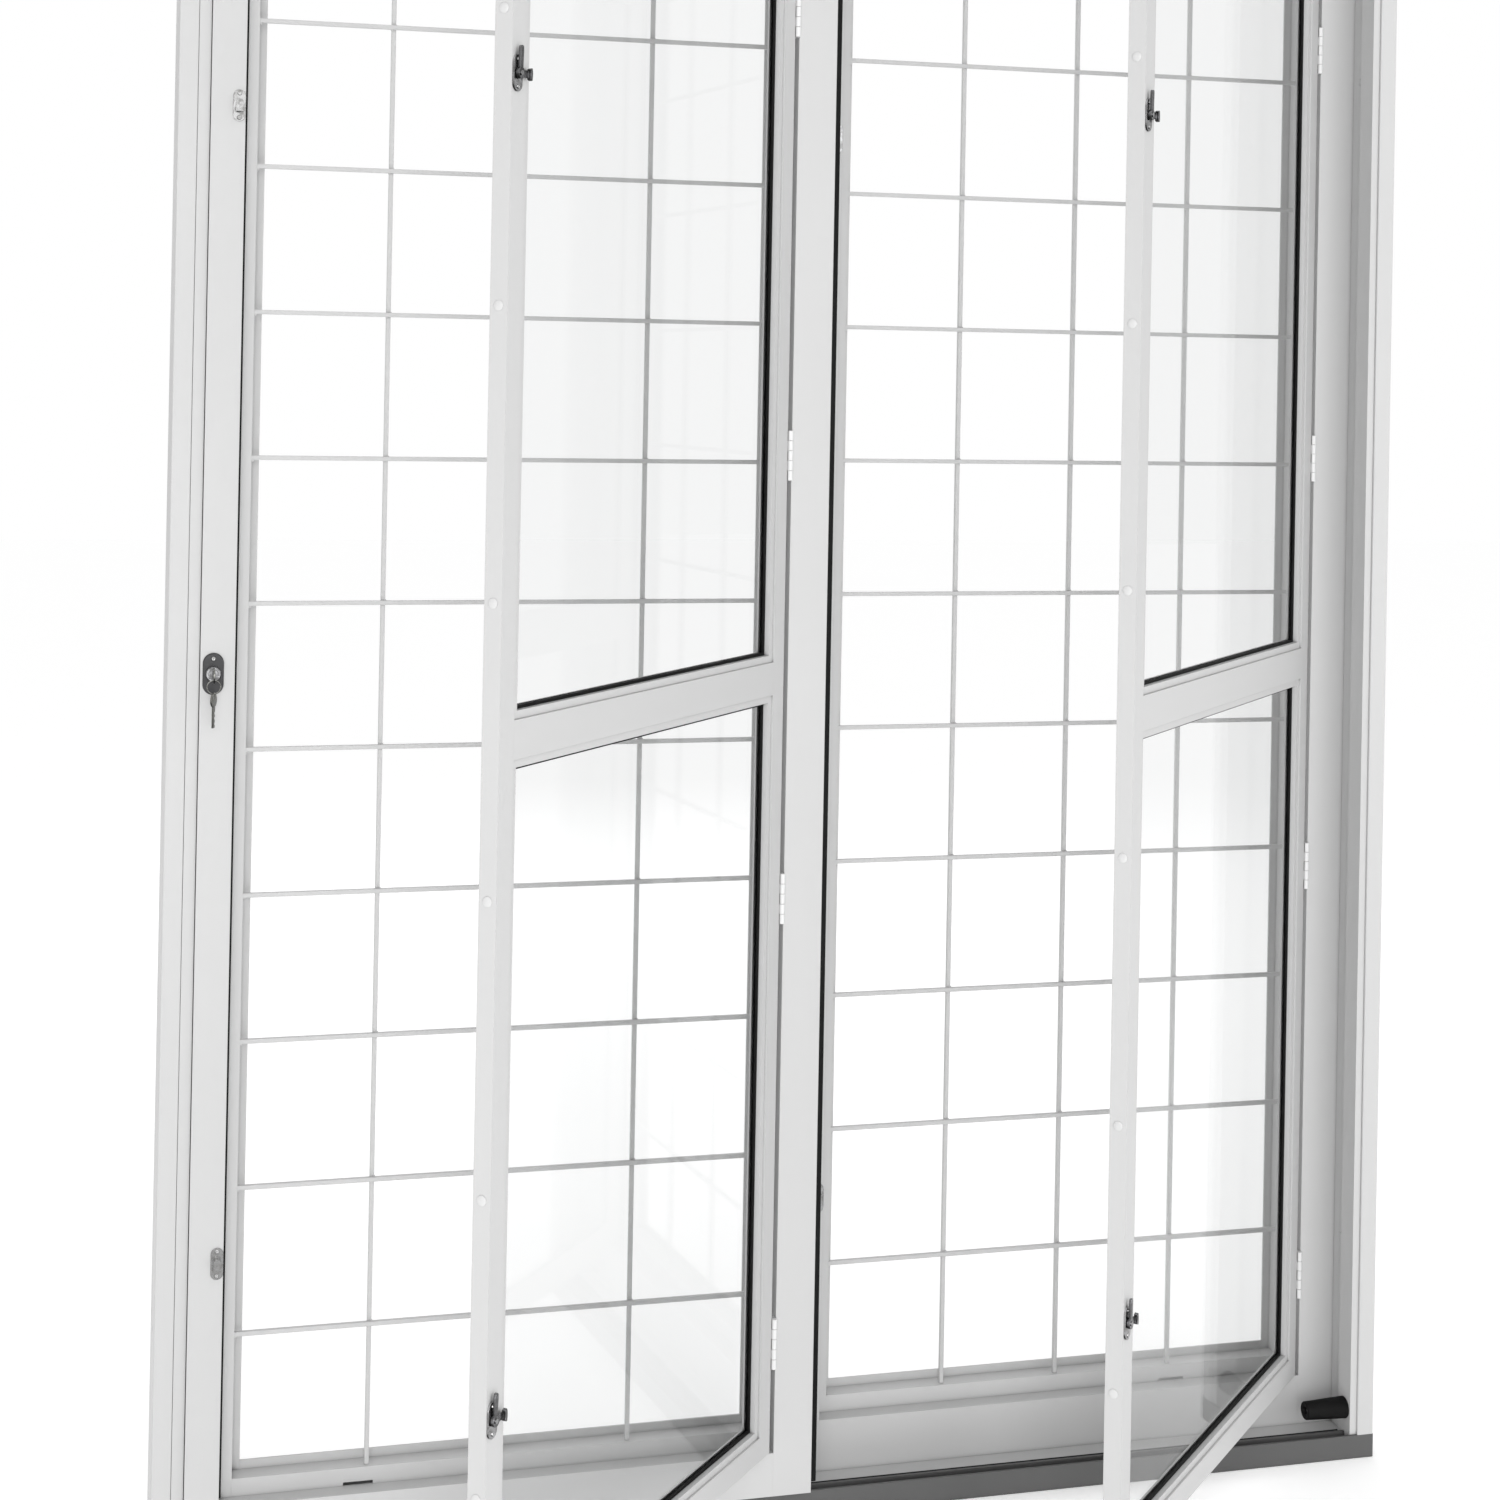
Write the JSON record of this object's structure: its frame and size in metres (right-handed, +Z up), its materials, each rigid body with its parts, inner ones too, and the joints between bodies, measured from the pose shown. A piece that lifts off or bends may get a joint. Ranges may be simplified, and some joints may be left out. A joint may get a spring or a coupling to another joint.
{
  "type": "casement window",
  "caption": "Two-track window: a sliding front panel and a fixed rear panel, each with a bar grille and a glazed casement leaf hinged on its right.",
  "frame": {"origin": "middle of the sill's underside, in the middle of the outer frame's width and depth", "axes": "+X to the right seen from the room, +Y from the room to the outside, +Z up"},
  "size_m": [1.829, 0.744, 2.438],
  "materials": {
    "frame_paint": "satin powder coat, light grey",
    "track_paint": "satin powder coat, dark grey",
    "track_insert": "matt black",
    "seal_rubber": "matt black",
    "leaf_paint": "satin powder coat, light grey",
    "bead_paint": "satin powder coat, light grey",
    "pane": "clear",
    "grille_paint": "satin",
    "hinge_paint": "satin",
    "keeper_chrome": "polished",
    "latch_chrome": "polished",
    "latch_arm_steel": "dark polished",
    "screw_steel": "bright",
    "cap_plastic": "satin",
    "lock_dark": "satin dark grey",
    "lock_steel": "satin",
    "key_metal": "nickel plated",
    "glide_nylon": "nylon"
  },
  "bodies": {
    "frame": {"left_jamb": "frame_paint", "right_jamb": "frame_paint", "head": "frame_paint", "sill": "frame_paint", "track_bar": "track_paint", "track_strip": "track_insert", "closing_channels": "frame_paint", "bumper": "seal_rubber", "rear_latch_stile": "frame_paint", "rear_hinge_stile": "frame_paint", "rear_bottom_rail": "frame_paint", "rear_top_rail": "frame_paint", "rear_grille": "grille_paint", "rear_keepers": "keeper_chrome", "rear_screws": "screw_steel", "right_hinge_plates": "hinge_paint"},
    "front_panel": {"front_latch_stile": "frame_paint", "front_hinge_stile": "frame_paint", "front_bottom_rail": "frame_paint", "front_top_rail": "frame_paint", "front_grille": "grille_paint", "front_keepers": "keeper_chrome", "front_screws": "screw_steel", "front_glides": "glide_nylon", "interlock_seal": "seal_rubber", "lock_plate": "lock_dark", "lock_body": "lock_steel", "left_hinge_plates": "hinge_paint"},
    "left_leaf": {"left_sash_plates": "hinge_paint", "left_hung_stile": "leaf_paint", "left_free_stile": "leaf_paint", "left_bottom_rail": "leaf_paint", "left_mid_rail": "leaf_paint", "left_top_rail": "leaf_paint", "left_glass": "pane", "left_beads": "bead_paint", "left_gaskets": "seal_rubber", "left_caps": "cap_plastic", "left_latch_bases": "latch_chrome", "left_latch_screws": "screw_steel"},
    "right_leaf": {"right_sash_plates": "hinge_paint", "right_hung_stile": "leaf_paint", "right_free_stile": "leaf_paint", "right_bottom_rail": "leaf_paint", "right_mid_rail": "leaf_paint", "right_top_rail": "leaf_paint", "right_glass": "pane", "right_beads": "bead_paint", "right_gaskets": "seal_rubber", "right_caps": "cap_plastic", "right_latch_bases": "latch_chrome", "right_latch_screws": "screw_steel"},
    "left_lower_latch": {"left_lower_arm": "latch_arm_steel"},
    "left_upper_latch": {"left_upper_arm": "latch_arm_steel"},
    "right_lower_latch": {"right_lower_arm": "latch_arm_steel"},
    "right_upper_latch": {"right_upper_arm": "latch_arm_steel"},
    "key": {"lock_plug": "lock_steel", "key": "key_metal"},
    "key_bunch": {"key_ring": "key_metal", "spare_key": "key_metal"}
  },
  "joints": [
    {"name": "front_panel_slide", "type": "slide", "parent": "frame", "child": "front_panel", "axis": [1, 0, 0], "range_m": [0, 0.6]},
    {"name": "left_leaf_hinge", "type": "hinge", "parent": "front_panel", "child": "left_leaf", "pos_m": [-0.048, -0.086, 1.219], "axis": [0, 0, 1], "range_deg": [-49, 46]},
    {"name": "left_lower_latch_turn", "type": "hinge", "parent": "left_leaf", "child": "left_lower_latch", "pos_m": [-0.54759, -0.66071, 0.428], "axis": [-0.7547, 0.6561, 0], "range_deg": [0, 172]},
    {"name": "left_upper_latch_turn", "type": "hinge", "parent": "left_leaf", "child": "left_upper_latch", "pos_m": [-0.54759, -0.66071, 1.992], "axis": [-0.7547, 0.6561, 0], "range_deg": [0, 172]},
    {"name": "right_leaf_hinge", "type": "hinge", "parent": "frame", "child": "right_leaf", "pos_m": [0.828, 0.007, 1.219], "axis": [0, 0, 1], "range_deg": [-46, 49]},
    {"name": "right_lower_latch_turn", "type": "hinge", "parent": "right_leaf", "child": "right_lower_latch", "pos_m": [0.29902, -0.54078, 0.428], "axis": [-0.7193, 0.6947, 0], "range_deg": [0, 172]},
    {"name": "right_upper_latch_turn", "type": "hinge", "parent": "right_leaf", "child": "right_upper_latch", "pos_m": [0.29902, -0.54078, 1.992], "axis": [-0.7193, 0.6947, 0], "range_deg": [0, 172]},
    {"name": "key_turn", "type": "hinge", "parent": "front_panel", "child": "key", "pos_m": [-0.8537, -0.083, 1.227], "axis": [0, -1, 0], "range_deg": [0, 90]},
    {"name": "key_bunch_swing", "type": "hinge", "parent": "key", "child": "key_bunch", "pos_m": [-0.8537, -0.108, 1.2208], "axis": [1, 0, 0], "range_deg": [-50, 12]}
  ]
}
